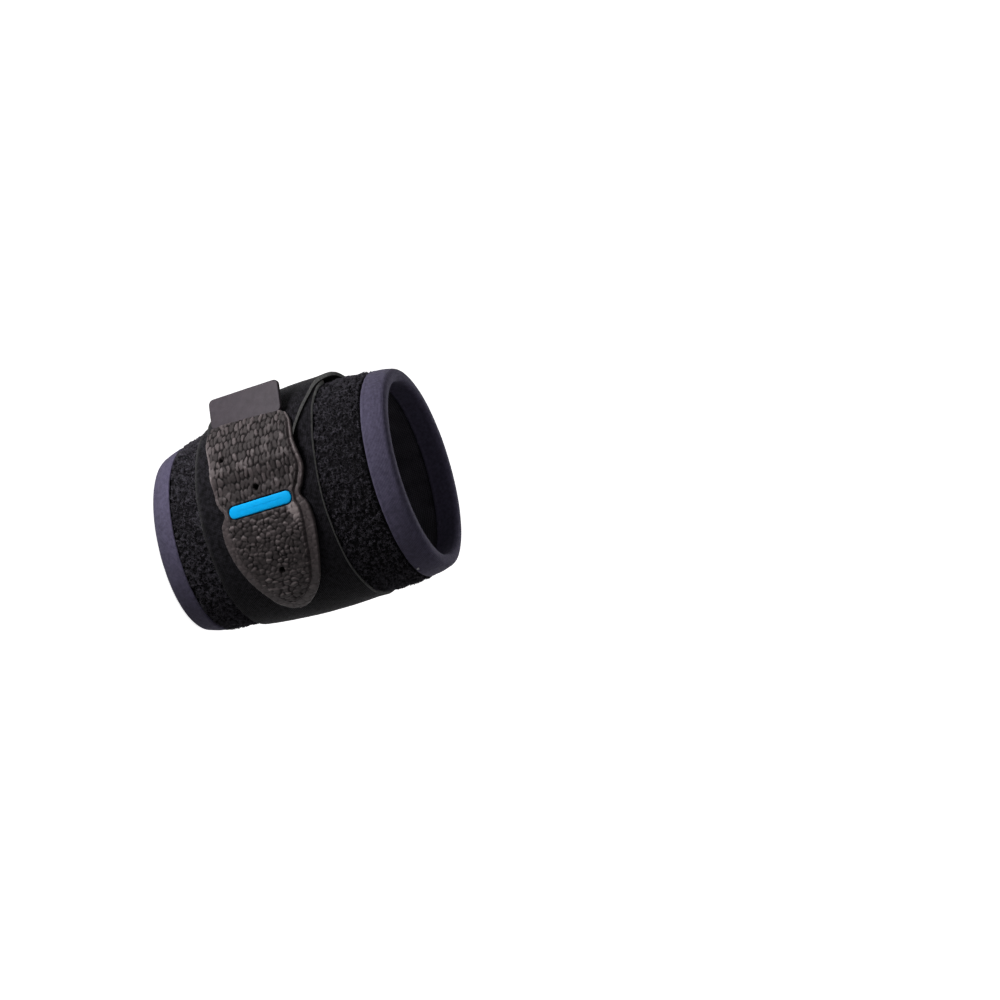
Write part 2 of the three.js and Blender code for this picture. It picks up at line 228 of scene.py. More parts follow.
def smooth_table(rows):
    """A smooth curve through a table's rows, giving its other columns at any value of the first."""
    places, *columns = np.array(rows, float).T
    slopes = [np.gradient(column, places) for column in columns]

    def at(place):
        place = np.clip(place, places[0], places[-1])
        row = np.clip(np.searchsorted(places, place, side="right") - 1, 0, len(places) - 2)
        step = places[row + 1] - places[row]
        t = (place - places[row]) / step
        bend = ease(t, 0, 1)
        leave = t * (1 - t) * (1 - t) * step
        arrive = t * t * (t - 1) * step
        return [
            (1 - bend) * c[row] + bend * c[row + 1] + leave * s[row] + arrive * s[row + 1]
            for c, s in zip(columns, slopes)
        ]

    return at


def scatter(cells, seed):
    """A steady random number from 0 to 1 for each row of whole numbers."""
    cells = np.asarray(cells, np.int64)
    factors = np.array([73856093, 19349663, 83492791], np.int64)[: cells.shape[-1]]
    mixed = (cells * factors).sum(-1) + seed * 668265263
    mixed = ((mixed ^ (mixed >> 13)) * 1274126177) & 0x7FFFFFFF
    mixed = ((mixed ^ (mixed >> 15)) * 739981) & 0x7FFFFFFF
    return (mixed % 65521) / 65520


def noise(points, cell, seed):
    """Smooth noise from -1 to 1 that changes over about one cell."""
    scaled = np.asarray(points, float) / cell
    base = np.floor(scaled).astype(np.int64)
    part = ease(scaled - base, 0, 1)
    total = np.zeros(scaled.shape[:-1])
    for corner in np.ndindex(*(2,) * scaled.shape[-1]):
        weight = np.where(np.array(corner) == 1, part, 1 - part).prod(-1)
        total += weight * scatter(base + np.array(corner), seed)
    return 2 * total - 1


def ripple(points, surface):
    """How far a surface strays at each point, from the table of small unevenness."""
    return sum(height * noise(points, cell, seed) for height, cell, seed in UNEVEN[surface])


# The tube

UP = np.array([0.0, 0.0, 1.0])
SQUARE = np.array([(-1, -1), (1, -1), (1, 1), (-1, 1)])


def full_turn(count):
    return np.arange(count) * 360 / count


def rotated(x, y, angle):
    return x * np.cos(angle) - y * np.sin(angle), x * np.sin(angle) + y * np.cos(angle)


def dent_depth(turn, height):
    """How far the tight strap presses the tube in."""
    away = np.abs((turn - DENT.turn + 180) % 360 - 180)
    around = 1 - ease(away, 0, DENT.spread)
    up = ease(height, DENT.low, DENT.low + DENT.edge)
    down = 1 - ease(height, DENT.high - DENT.edge, DENT.high)
    return DENT.depth * around * up * down


def tube_frame(turn, height):
    """The place of the loop face before its dent, and the level outward direction there."""
    share = np.asarray(height, float) / BAND_WIDTH
    swell = 4 * share * (1 - share)
    wide, deep = (
        near * (1 - share) + far * share + bulge * swell
        for near, far, bulge in zip(PROXIMAL_HALF, DISTAL_HALF, BULGE_HALF)
    )
    twist = math.radians(TWIST) * (share - 0.5)
    angle = np.radians(turn)
    x, y = rotated(-wide * np.sin(angle), -deep * np.cos(angle), twist)
    out_x, out_y = rotated(-deep * np.sin(angle), -wide * np.cos(angle), twist)
    size = np.hypot(out_x, out_y)
    return x + LEAN * (share - 0.5), y, out_x / size, out_y / size


def tube_axes(turn, height):
    """The level directions along the tube's face and out of it."""
    _, _, out_x, out_y = tube_frame(turn, height)
    out = np.stack([out_x, out_y, np.zeros_like(out_x)], -1)
    return np.cross(UP, out), out


def tube_point(turn, height, lift):
    """The point a lift outside the loop face, in the part's frame."""
    turn, height, lift = np.broadcast_arrays(turn, height, lift)
    x, y, out_x, out_y = tube_frame(turn, height)
    out = lift - dent_depth(turn, height)
    x = x + out_x * out
    y = y + out_y * out
    z = height + height / BAND_WIDTH * RIM_SLOPE * x
    return np.stack([x + TUBE_ORIGIN[0], y + TUBE_ORIGIN[1], z], -1)


def arc_lengths(turns, height, lift=0.0):
    """How far along the tube each turn lies from the first one."""
    points = tube_point(turns, height, lift)
    steps = np.linalg.norm(np.diff(points, axis=0), axis=1)
    return np.concatenate([[0.0], np.cumsum(steps)])


# Meshes


def add_object(name, data):
    thing = bpy.data.objects.new(name, data)
    bpy.context.scene.collection.objects.link(thing)
    return thing


def mesh_object(name, points, faces, materials, weave=None, values=None, face_material=None, layout=None):
    """A smooth mesh from points in millimetres. weave is a cloth or mould coordinate for each face
    corner, values are named numbers for each point, and layout unfolds the faces into a unit square."""
    mesh = bpy.data.meshes.new(name)
    mesh.from_pydata((np.asarray(points) * MM).tolist(), [], faces)
    mesh.polygons.foreach_set("use_smooth", np.ones(len(mesh.polygons), bool))
    for label, places in (("weave", weave), ("OFBake", layout)):
        if places is not None:
            layer = mesh.uv_layers.new(name=label)
            layer.data.foreach_set("uv", np.asarray(places, np.float32).ravel())
    for label, numbers in (values or {}).items():
        attribute = mesh.attributes.new(label, "FLOAT", "POINT")
        attribute.data.foreach_set("value", np.asarray(numbers, np.float32).ravel())
    for material in materials:
        mesh.materials.append(material)
    if face_material is not None:
        mesh.polygons.foreach_set("material_index", np.asarray(face_material, np.int32))
    mesh.update()
    return add_object(name, mesh)


def grid_quads(rows, sides, ring):
    """Quads between neighbouring loops of a stack, and each corner's row and side, not wrapped."""
    row, side = np.meshgrid(np.arange(rows if ring else rows - 1), np.arange(sides), indexing="ij")
    row = np.stack([row, row, row + 1, row + 1], -1).reshape(-1, 4)
    side = np.stack([side, side + 1, side + 1, side], -1).reshape(-1, 4)
    return (row % rows) * sides + side % sides, row, side


def skin(name, points, materials, along, across, ring=False, **more):
    """A mesh over a stack of closed loops, with points by row and side. The last row of a ring joins its
    first, and caps end other stacks. along and across are the places of the points in the weave, and
    a ring's have one more row and side, which join."""
    rows, sides = points.shape[:2]
    weave = np.stack(np.broadcast_arrays(along, across), -1)
    quads, row, side = grid_quads(rows, sides, ring)
    faces = quads.tolist()
    corners = weave[row, side % weave.shape[1]].reshape(-1, 2)
    if not ring:
        first = np.arange(sides)
        faces += [first[::-1].tolist(), (first + (rows - 1) * sides).tolist()]
        corners = np.concatenate([corners, weave[0, ::-1], weave[-1]])
    return mesh_object(name, points.reshape(-1, 3), faces, materials, corners, **more)


def rounded_outline(corners, radius, corner_steps, side_steps, inset):
    """Points round a convex shape, given anticlockwise, with its sides moved in and its corners round."""
    corners = np.asarray(corners, float)
    along = np.roll(corners, -1, 0) - corners
    along /= np.linalg.norm(along, axis=1)[:, None]
    inward = np.stack([-along[:, 1], along[:, 0]], 1)
    bend = max(radius - inset, LEAST_BEND)
    arcs = []
    for corner, before, after in zip(corners, np.roll(inward, 1, 0), inward):
        centre = corner + (inset + bend) * (before + after) / (1 + before @ after)
        start = math.atan2(-before[1], -before[0])
        sweep = (math.atan2(-after[1], -after[0]) - start) % math.tau
        angles = start + sweep * np.linspace(0, 1, corner_steps)
        arcs.append(centre + bend * np.stack([np.cos(angles), np.sin(angles)], 1))
    shares = np.linspace(0, 1, side_steps + 2)[1:-1, None]
    points = []
    for arc, following in zip(arcs, arcs[1:] + arcs[:1]):
        points += [arc, arc[-1] * (1 - shares) + following[0] * shares]
    return np.concatenate(points)


def plate_mesh(name, outline, rings, place, materials, values_at=None):
    """A plate made of rings from the middle of its back to the middle of its front. outline is what
    rounded_outline takes, each ring is an inset, a scale towards the middle and a lift, and place
    turns flat points and lifts into space."""
    middle = rounded_outline(*outline, 0).mean(0)
    flats = [middle + (rounded_outline(*outline, inset) - middle) * scale for inset, scale, lift in rings]
    flat = np.stack(flats)
    lift = np.stack([np.full(flat.shape[1], lift) for inset, scale, lift in rings])
    values = values_at(flat, lift) if values_at else None
    return skin(name, place(flat, lift), materials, flat[..., 0], flat[..., 1], values=values)


def thread_rings(centres, forward, aside, thick, sides):
    """Rings of points round a thread's centre line, which runs forward and has a direction aside."""
    forward = forward / np.linalg.norm(forward, axis=-1, keepdims=True)
    first = np.cross(forward, aside)
    first /= np.linalg.norm(first, axis=-1, keepdims=True)
    second = np.cross(forward, first)
    angles = np.arange(sides) * math.tau / sides
    rings = [centres + thick * (first * math.cos(a) + second * math.sin(a)) for a in angles]
    return np.stack(rings, -2)


# Materials


class Finish:
    """A principled material, built node by node. place is its object coordinate in millimetres."""

    def __init__(self, name, roughness=0.5, shine=0.5, sheen=(0.0, 0.5)):
        self.material = bpy.data.materials.new(name)
        self.material.use_nodes = True
        self.tree = self.material.node_tree
        self.shader = self.tree.nodes["Principled BSDF"]
        weight, spread = sheen
        self.look(Roughness=roughness, Specular_IOR_Level=shine)
        self.look(Sheen_Weight=weight, Sheen_Roughness=spread)
        place = self.add("TexCoord")["Object"]
        mapping = {"Vector": place, "Rotation": GRAIN_TURN, "Scale": (1 / MM, 1 / MM, 1 / MM)}
        self.place = self.add("Mapping", mapping)["Vector"]

    def fill(self, node, inputs):
        """Sets a node's inputs to values, or links them to other nodes' outputs."""
        for label, value in inputs.items():
            if isinstance(value, bpy.types.NodeSocket):
                self.tree.links.new(value, node.inputs[label])
            else:
                node.inputs[label].default_value = value

    def look(self, **inputs):
        """Fills inputs of the shader, with underscores for the spaces in their names."""
        self.fill(self.shader, {label.replace("_", " "): value for label, value in inputs.items()})

    def add(self, kind, inputs=None, **settings):
        """Adds a shader node and gives its outputs."""
        node = self.tree.nodes.new("ShaderNode" + kind)
        for label, value in settings.items():
            setattr(node, label, value)
        self.fill(node, inputs or {})
        return node.outputs

    def maths(self, operation, *values):
        return self.add("Math", dict(enumerate(values)), operation=operation)["Value"]

    def point_value(self, label):
        return self.add("Attribute", attribute_name=label)["Fac"]

    def level(self, factor, start, end):
        """A number that goes from start to end as the factor goes from 0 to 1."""
        return self.add("MapRange", {"Value": factor, "To Min": start, "To Max": end})["Result"]

    def ramp(self, factor, *stops):
        """Colours along a factor: each stop is a place and a colour."""
        output = self.add("ValToRGB", {"Fac": factor})["Color"]
        elements = output.node.color_ramp.elements
        while len(elements) < len(stops):
            elements.new(0.5)
        for element, (place, colour) in zip(elements, stops):
            element.position = place
            element.color = (*colour, 1)
        return output

    def mix(self, factor, first, second, blend="MIX"):
        """Mixes colours, which are the node's inputs 6 and 7 and its output 2."""
        inputs = {"Factor": factor, 6: first, 7: second}
        return self.add("Mix", inputs, data_type="RGBA", blend_type=blend)[2]

    def grain(self, size, detail=2.0, roughness=0.5):
        """Noise from 0 to 1 whose marks are about the given size in millimetres."""
        inputs = {"Vector": self.place, "Scale": 1 / size, "Detail": detail, "Roughness": roughness}
        return self.add("TexNoise", inputs)["Fac"]

    def bump(self, height, distance, below=None):
        """A bump of that height in millimetres, over another bump if there is one."""
        inputs = {"Height": height, "Distance": distance * MM, "Strength": 1.0}
        if below is not None:
            inputs["Normal"] = below
        normal = self.add("Bump", inputs)["Normal"]
        self.look(Normal=normal)
        return normal

    def knit(self, wale, course):
        """The height, from 0 to 1, of a plain knit: slanted loops in columns a wale wide."""
        layer = self.add("UVMap", uv_map="weave")["UV"]
        weave = self.add("SeparateXYZ", {"Vector": layer})
        column = self.maths("MULTIPLY", weave["Y"], math.pi / wale)
        ridge = self.maths("ABSOLUTE", self.maths("SINE", column))
        slant = self.maths("MULTIPLY", ridge, math.pi * KNIT_SLANT)
        row = self.maths("MULTIPLY_ADD", weave["X"], math.tau / course, slant)
        loop = self.level(self.maths("SINE", row), KNIT_GAP, 1.0)
        return self.maths("MULTIPLY", ridge, loop)

    def cloth(self, loop, patch, spread, bump, low, high):
        """A knit's colour and bump. loop is its wale and course. low and high are pairs of colours, in
        its gaps and on its loops, that mingle in patches of a size and a roughness."""
        knit = self.knit(*loop)
        size, roughness = patch
        patches = self.grain(size, 3.0, roughness)
        stops = (0.5 - spread, 0.5 + spread)
        gaps, loops = (self.ramp(patches, *zip(stops, pair)) for pair in (low, high))
        self.bump(knit, bump)
        return self.mix(knit, gaps, loops)


def pile_material():
    finish = Finish("loop_pile", 0.9, 0.05, (0.04, 0.5))
    tip = finish.point_value("tip")
    # Dark at the loops' roots, painted shade deep in the pile, and pale at their tops, painted light.
    deep = finish.ramp(tip, (0.0, (0.002, 0.0018, 0.0022)), (1.0, (0.05, 0.046, 0.057)))
    pale = finish.ramp(tip, (0.0, (0.003, 0.0028, 0.0034)), (1.0, (0.13, 0.121, 0.149)))
    finish.look(Base_Color=finish.mix(finish.grain(1.2), deep, pale))
    return finish.material


def ground_material():
    finish = Finish("loop_ground", 0.95, 0.03)
    curl = finish.grain(0.5, 3.0, 0.6)
    colour = finish.ramp(curl, (0.35, (0.0012, 0.0011, 0.0013)), (0.7, (0.016, 0.015, 0.018)))
    finish.look(Base_Color=colour)
    finish.bump(curl, 0.3)
    return finish.material


def lining_material():
    finish = Finish("lining", 0.9, 0.05, (0.05, 0.4))
    low = ((0.02, 0.0188, 0.0235), (0.034, 0.032, 0.039))
    high = ((0.085, 0.08, 0.098), (0.13, 0.122, 0.15))
    finish.look(Base_Color=finish.cloth((0.7, 0.6), (5.0, 0.5), 0.15, 0.2, low, high))
    return finish.material


def binding_material():
    finish = Finish("binding_cloth", 0.85, 0.06, (0.06, 0.4))
    low = ((0.046, 0.041, 0.067), (0.066, 0.0585, 0.0965))
    high = ((0.086, 0.0765, 0.126), (0.124, 0.11, 0.181))
    finish.look(Base_Color=finish.cloth((0.42, 0.36), (1.1, 0.6), 0.15, 0.1, low, high))
    return finish.material


def strap_material():
    finish = Finish("strap_cloth", 0.85, 0.05, (0.1, 0.25))
    low = ((0.001, 0.0009, 0.0012), (0.006, 0.0055, 0.007))
    high = ((0.004, 0.0037, 0.0046), (0.024, 0.0221, 0.0277))
    cloth = finish.cloth((0.55, 0.5), (1.2, 0.6), 0.12, 0.12, low, high)
    pale = finish.ramp(finish.grain(0.4), (0.3, (0.26, 0.26, 0.256)), (0.7, (0.54, 0.535, 0.525)))
    finish.look(Base_Color=finish.mix(finish.point_value("cut"), cloth, pale))
    return finish.material


def moulded_material(name, shine, dark, light, pale, worn):
    """Satin moulded sheet: dark and dull in its grooves, paler on its tops, with a fine grain. On the
    tongue, the dark end of the tint is painted shade in grooves, pits and holes, and its pale end is
    painted highlight on tops, crests, edges and the shoulder.
    """
    finish = Finish(name, shine=shine)
    relief = finish.point_value("relief")
    tint = finish.ramp(relief, (0.0, dark), (0.4, light), (0.75, pale), (1.0, worn))
    patch = finish.grain(2.2, 4.0, 0.6)
    shade = finish.ramp(patch, (0.3, (0.7, 0.68, 0.68)), (0.7, (1.0, 1.0, 1.0)))
    dull = finish.maths("MULTIPLY", finish.level(relief, 0.85, 0.28), finish.level(patch, 0.85, 1.15))
    finish.look(Base_Color=finish.mix(1.0, tint, shade, "MULTIPLY"), Roughness=dull)
    cells = {"Vector": finish.place, "Scale": 1 / MOULD_CELL}
    pebble = finish.add("TexVoronoi", cells, feature="SMOOTH_F1")["Distance"]
    finish.bump(pebble, 0.05, finish.bump(patch, 0.08))
    return finish.material


def accent_material():
    finish = Finish("blue_inlay", shine=0.04)
    patch = finish.grain(1.5, 4.0, 0.6)
    colour = finish.ramp(patch, (0.3, (0.0004, 0.285, 0.62)), (0.7, (0.0006, 0.33, 0.72)))
    finish.look(Base_Color=colour, Roughness=finish.level(patch, 0.4, 0.6))
    finish.bump(finish.grain(0.3), 0.04)
    return finish.material


def thread_material():
    finish = Finish("pale_thread", 0.7)
    twist = finish.grain(0.08)
    finish.look(Base_Color=finish.ramp(twist, (0.3, (0.35, 0.34, 0.36)), (0.7, (0.6, 0.59, 0.6))))
    return finish.material


def floor_material():
    finish = Finish("pale_floor", 0.9, 0.0)
    patch = finish.grain(60.0)
    finish.look(Base_Color=finish.ramp(patch, (0.0, (0.88, 0.88, 0.88)), (1.0, (0.9, 0.9, 0.9))))
    finish.look(Emission_Color=(1, 1, 1, 1), Emission_Strength=FLOOR.glow)
    return finish.material


# Pieces

strap_edges = smooth_table(STRAP_ROWS)
tongue_edges = smooth_table(TONGUE_ROWS)
rim_widths = smooth_table(RIM_ROWS)
strap_turns = np.linspace(STRAP_ROWS[0][0], STRAP_ROWS[-1][0], STRAP_STATIONS)


def strap_cover(turn):
    """The lowest and highest height that the strap covers at a turn from 0 to 360."""
    low, high = np.inf, -np.inf
    for place in (turn - 360, turn):
        edge_low, edge_high = strap_edges(place)
        there = (place >= strap_turns[0]) & (place <= strap_turns[-1])
        low = np.where(there, np.minimum(low, edge_low), low)
        high = np.where(there, np.maximum(high, edge_high), high)
    return low, high


def make_band():
    """The padded band: a loop face outside and a knitted lining inside."""
    turns = full_turn(BAND_MESH.columns)
    low = BINDING_DEPTH["proximal"] + GAP
    high = BAND_WIDTH - BINDING_DEPTH["distal"] - GAP
    edge_low = BINDING.cloth + GAP
    edge_high = BAND_WIDTH - BINDING.cloth - GAP
    edge_outer = BINDING.proud - BINDING.cloth - GAP
    edge_inner = -PADDING - edge_outer
    outer = np.linspace(low, high, BAND_MESH.outer_rows)
    inner = np.linspace(high, low, BAND_MESH.inner_rows)
    heights = np.concatenate(
        [[edge_low, low], outer, [high, edge_high, edge_high, high], inner, [low, edge_low]]
    )
    tuck = TUCK.depth * (1 - ease(np.minimum(outer - low, high - outer), 0, TUCK.reach))
    face = tube_point(turns[:, None], outer, 0.0)
    back = tube_point(turns[:, None], inner, -PADDING)
    under_outer = np.full((len(turns), 2), edge_outer)
    under_inner = np.full((len(turns), 2), edge_inner)
    shown = ripple(face, "loop_face") - tuck
    lining = ripple(back, "lining") - PADDING
    lifts = np.concatenate([under_outer, shown, under_outer, under_inner, lining, under_inner], 1)
    points = tube_point(turns[:, None], heights, lifts)
    along = arc_lengths(np.append(turns, 360), BAND_WIDTH / 2)
    steps = np.abs(np.diff(heights, append=heights[:1])) + BAND_MESH.edge_step
    around = np.concatenate([[0.0], np.cumsum(steps)])
    lined = np.arange(len(heights)) >= len(outer) + 2 * under_outer.shape[1]
    return skin(
        "band_cloth", points, [ground_material(), lining_material()], along[:, None], around, True,
        face_material=np.tile(lined, len(turns)),
    )


def pile_limits(side, turn):
    """The heights between which the loop face shows on one side of the strap."""
    strap_low, strap_high = strap_cover(turn)
    if side == "proximal":
        return BINDING_DEPTH[side] + PILE.off_binding, strap_low + PILE.under_strap
    return strap_high - PILE.under_strap, BAND_WIDTH - BINDING_DEPTH[side] - PILE.off_binding


def make_pile(side_name, seed, material):
    """Fine curled loops that stand in tufts on the band's face, on one side of the strap."""
    random = np.random.default_rng(seed)
    lows, highs = pile_limits(side_name, np.linspace(0, 360, 361))
    lowest, highest = np.min(lows), np.max(highs)
    tries = PILE.loops * PILE.tries
    turn = random.uniform(0, 360, tries)
    height = random.uniform(lowest, highest, tries)
    tuft = 0.5 + 0.5 * noise(tube_point(turn, height, 0), PILE.tuft, seed)
    chosen = random.uniform(0, 1, tries) < PILE.thinnest + PILE.thickest * tuft ** 2
    low, high = pile_limits(side_name, turn)
    inside = chosen & (height > low) & (height < high)
    turn, height, tuft = (values[inside][: PILE.loops] for values in (turn, height, tuft))
    root = tube_point(turn, height, PILE.root)
    aside, out = tube_axes(turn, height)
    loops = len(turn)
    heading = random.uniform(0, math.tau, loops)[:, None]
    along = aside * np.cos(heading) + UP * np.sin(heading)
    across = np.cross(out, along)
    span = random.uniform(*PILE.span, loops)[:, None]
    rise = (random.uniform(*PILE.rise, loops) * (0.5 + tuft))[:, None]
    curl = random.uniform(-PILE.curl, PILE.curl, loops)[:, None]
    thick = random.uniform(*PILE.thread, loops)[:, None, None]
    stations = np.linspace(0, 1, PILE.stations)
    share = stations[:, None]
    centres = (
        root[:, None]
        + (along * span)[:, None] * (share - 0.5)
        + (out * rise)[:, None] * np.sin(math.pi * share)
        + (across * curl)[:, None] * np.sin(math.tau * share)
    )
    sides = PILE.sides
    points = thread_rings(centres, np.gradient(centres, axis=1), across[:, None], thick, sides)
    quads, row, side = grid_quads(len(stations), sides, False)
    corners = sides * len(stations)
    caps = np.array([range(sides)[::-1], range(corners - sides, corners)])
    offset = np.arange(loops)[:, None, None] * corners
    faces = (quads + offset).reshape(-1, 4).tolist() + (caps + offset).reshape(-1, sides).tolist()
    # Loops are painted dark at their roots, painted shade deep in the pile, and pale at their tops,
    # painted light; thick tufts are paler.
    root_tint, tuft_tint = PILE.tint
    tip = np.sin(math.pi * stations) * (root_tint + tuft_tint * tuft[:, None])
    up_strip = CELL.strip + (1 - 2 * CELL.strip) * row / (len(stations) - 1)
    places = (np.stack([side / sides, up_strip], -1), np.array(CELL.caps))
    layout = np.concatenate([unit_cells(loops, shape) for shape in places])
    return mesh_object(
        "loop_pile_" + side_name, points.reshape(-1, 3), faces, [material],
        values={"tip": np.repeat(tip, sides)}, layout=layout,
    )


def unit_cells(count, places):
    """The same places in each of a number of cells that share a unit square."""
    sides = math.ceil(math.sqrt(count))
    corner = np.stack([np.arange(count) % sides, np.arange(count) // sides], -1)
    inside = CELL.margin + (1 - 2 * CELL.margin) * places.reshape(1, -1, 2)
    return ((corner[:, None] + inside) / sides).reshape(-1, 2)


def binding_profile(depth):
    """A folded strip over a rim: distances from the rim and lifts, round the cloth's section."""
    middle = -PADDING / 2
    outer = PADDING / 2 + BINDING.proud
    inner = outer - BINDING.cloth
    edge = BINDING.cloth / 2
    start = FOLD.start
    power = 2 / FOLD.squareness

    def fold(reach, turn_in, count):
        angles = np.linspace(-math.pi / 2, math.pi / 2, count)
        lift = -np.sign(np.sin(angles)) * np.abs(np.sin(angles)) ** power * reach
        away = start - np.cos(angles) ** power * turn_in
        return np.stack([away, middle + lift], 1)[1:-1]

    def wall(reach, side, count, swell):
        share = np.linspace(0, 1, count)
        away = start + (depth - edge - start) * share
        soft = swell * np.sin(math.pi * share) + HEM.rise * ease(share, HEM.start, HEM.end)
        return np.stack([away, middle + side * (reach + soft)], 1)

    def hem(side):
        angles = np.linspace(0, math.pi, BINDING_MESH.hem + 2)[1:-1]
        away = depth - edge + edge * np.sin(angles)
        lift = outer + HEM.rise / 2 - edge + (edge + HEM.rise / 2) * np.cos(angles)
        return np.stack([away, middle + side * lift], 1)

    stretches = [
        wall(outer, 1, BINDING_MESH.wall, FOLD.swell)[::-1],
        fold(outer, start, BINDING_MESH.fold),
        wall(outer, -1, BINDING_MESH.wall, FOLD.lining_swell),
        hem(-1),
        wall(inner, -1, BINDING_MESH.inner_wall, 0)[::-1],
        fold(inner, FOLD.inner, BINDING_MESH.inner_fold)[::-1],
        wall(inner, 1, BINDING_MESH.inner_wall, 0),
        hem(1)[::-1],
    ]
    return np.concatenate(stretches)


def make_binding(name, rim, material):
    """The folded edging of one rim, slightly puckered where it is sewn to the band."""
    depth = BINDING_DEPTH[name]
    inward = 1 if rim == 0 else -1
    profile = binding_profile(depth)[::-inward]
    away, lifts = profile.T
    turns = full_turn(BINDING_MESH.columns)
    heights = rim + inward * away
    along = arc_lengths(np.append(turns, 360), rim)
    flat = tube_point(turns[:, None], heights, lifts)
    puckers = round(along[-1] / PUCKER.pitch)
    pucker = np.sin(math.tau * along[:-1] * puckers / along[-1])[:, None]
    sewn = ease(away, depth - PUCKER.reach, depth - PUCKER.full)
    facing = np.where(lifts > -PADDING / 2, 1, -1)
    stray = PUCKER.depth * pucker * sewn + ripple(flat, "binding_" + name)
    points = tube_point(turns[:, None], heights, lifts + facing * stray)
    points[:, :, 2] = np.maximum(points[:, :, 2], 0)
    steps = np.linalg.norm(np.diff(profile, axis=0, append=profile[:1]), axis=1)
    around = np.concatenate([[0.0], np.cumsum(steps)])
    return skin(f"binding_{name}_cloth", points, [material], along[:, None], around, True)


def strap_section(low, high):
    """Heights and levels round the strap's section, from its low edge across the outer face and back,
    with how far each place belongs to the cut sides."""
    half = WEBBING / 2
    bend = STRAP_EDGE.round
    face = np.linspace(0, 1, STRAP_EDGE.columns)
    corner = np.linspace(0, math.pi / 2, STRAP_EDGE.corner)[1:]
    inset = bend * (1 - np.sin(corner))
    side = half - bend * (1 - np.cos(corner))
    inset = np.concatenate([inset, [0, 0], inset[::-1]])
    side = np.concatenate([side, [half / 3, -half / 3], -side[::-1]])
    cut = np.array(CUT_SHARES)
    inner, outer = low + bend, high - bend
    across = inner[:, None] + (outer - inner)[:, None] * face
    heights = np.concatenate(
        [across, high[:, None] - inset, across[:, ::-1], low[:, None] + inset[::-1]], 1
    )
    level_of = np.concatenate([np.full(len(face), half), side, np.full(len(face), -half), side[::-1]])
    width = (high - low).mean()
    worn = STRAP_EDGE.worn * (1 - ease(face * width, 0, STRAP_EDGE.worn_reach))
    cut_share = np.concatenate([worn, cut, np.zeros(len(face)), cut])
    return heights, level_of, cut_share


def make_strap(material):
    """The strap, lapped over its own start, with raw cut edges."""
    turns = strap_turns
    low, high = strap_edges(turns)
    length = np.stack([np.radians(turns) * EDGE_RADIUS, np.zeros(len(turns))], 1)
    low = low + ripple(length, "strap_low_edge")
    high = high + ripple(length, "strap_high_edge")
    heights, level_of, cut = strap_section(low, high)
    over = 1 - ease(turns, *STRAP_LAP)
    middle = GAP + WEBBING / 2 + over * (WEBBING + GAP)
    lifts = middle[:, None] + level_of
    plain = tube_point(turns[:, None], heights, lifts)
    heights = heights + cut * ripple(plain, "strap_cut")
    lifts = lifts + (level_of > 0) * ripple(plain, "strap_face")
    curl = ease(turns, *LAP_CURL.starts) * (1 - ease(turns, *LAP_CURL.ends))
    curled = 1 - ease(high[:, None] - heights, 0, LAP_CURL.reach)
    points = tube_point(turns[:, None], heights, lifts + LAP_CURL.rise * curl[:, None] * curled)
    along = arc_lengths(turns, BAND_WIDTH / 2)
    under = np.interp(turns, UNDER_EDGE.turns, UNDER_EDGE.pale)
    pale = under + (1 - under) * (1 - ease(turns, *OVER_EDGE_FADES))
    values = {"cut": cut * pale[:, None]}
    return skin("strap_cloth", points, [material], along[:, None], heights, values=values)


def pebble_field(along, across, pebbles):
    """Pebbles in loose rows, every other row set off by half a pebble: 0 in the grooves and 1 on top,
    how close a pit between three pebbles is, how far up its own pebble a place lies, and a steady
    random number for each pebble."""
    scaled = np.stack([along / pebbles.along, across / pebbles.across], -1)
    base = np.floor(scaled).astype(np.int64)
    found = []
    for step in np.ndindex(3, 3):
        cell = base + np.array(step) - 1
        along_random, across_random, number = (scatter(cell, pebbles.seed + k) for k in range(3))
        stray = pebbles.stray * (np.stack([along_random, across_random], -1) - 0.5)
        stray[..., 1] += 0.5 * (cell[..., 0] % 2) - 0.25
        away = scaled - (cell + 0.5 + stray)
        found.append((np.linalg.norm(away, axis=-1), away[..., 0], number))
    distances, uphill, numbers = np.swapaxes(found, 0, 1)
    order = np.argsort(distances, axis=0)
    nearest, second, third = np.take_along_axis(distances, order[:3], 0)
    up, own = (np.take_along_axis(values, order[:1], 0)[0] for values in (uphill, numbers))
    dome = 1 - (1 - np.clip((second - nearest) / DOME.width, 0, 1)) ** 2
    pit = 1 - ease(third - nearest, *PIT.width)
    return dome, pit, up, own


